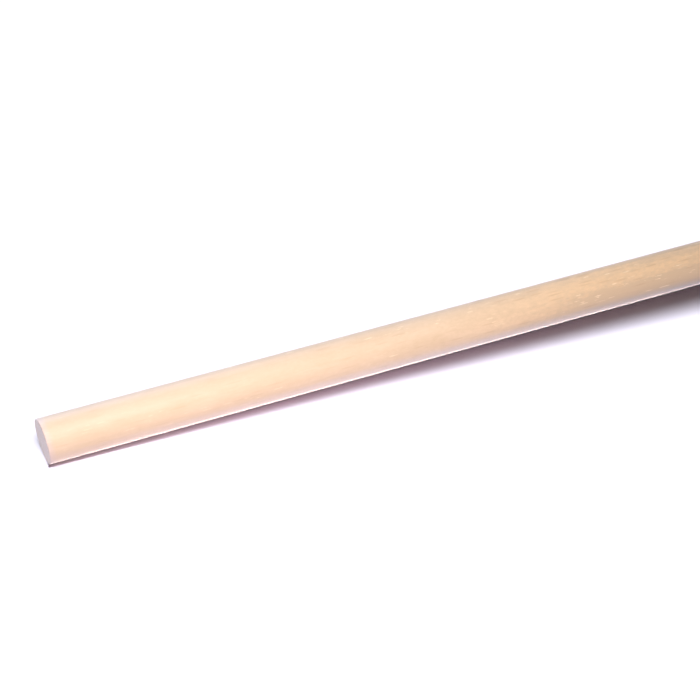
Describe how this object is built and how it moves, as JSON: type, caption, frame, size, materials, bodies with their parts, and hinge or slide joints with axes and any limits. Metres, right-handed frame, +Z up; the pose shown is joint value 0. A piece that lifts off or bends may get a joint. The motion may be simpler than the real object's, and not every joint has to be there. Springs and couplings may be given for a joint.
{
  "type": "wooden dowel rod",
  "caption": "Plain round wooden rod of straight grain, sawn to length at both ends, for pegs, spindles, shafts and rails.",
  "frame": {"origin": "middle of the rod's axis, half way between its two ends", "axes": "+X along the rod from the front end, which is sawn a little off square, to the square back end; +Z up"},
  "size_m": [0.3048, 0.0126, 0.0126],
  "materials": {
    "pale_hardwood": "sanded, unfinished"
  },
  "bodies": {
    "root": {"dowel_rod": "pale_hardwood"}
  },
  "joints": []
}
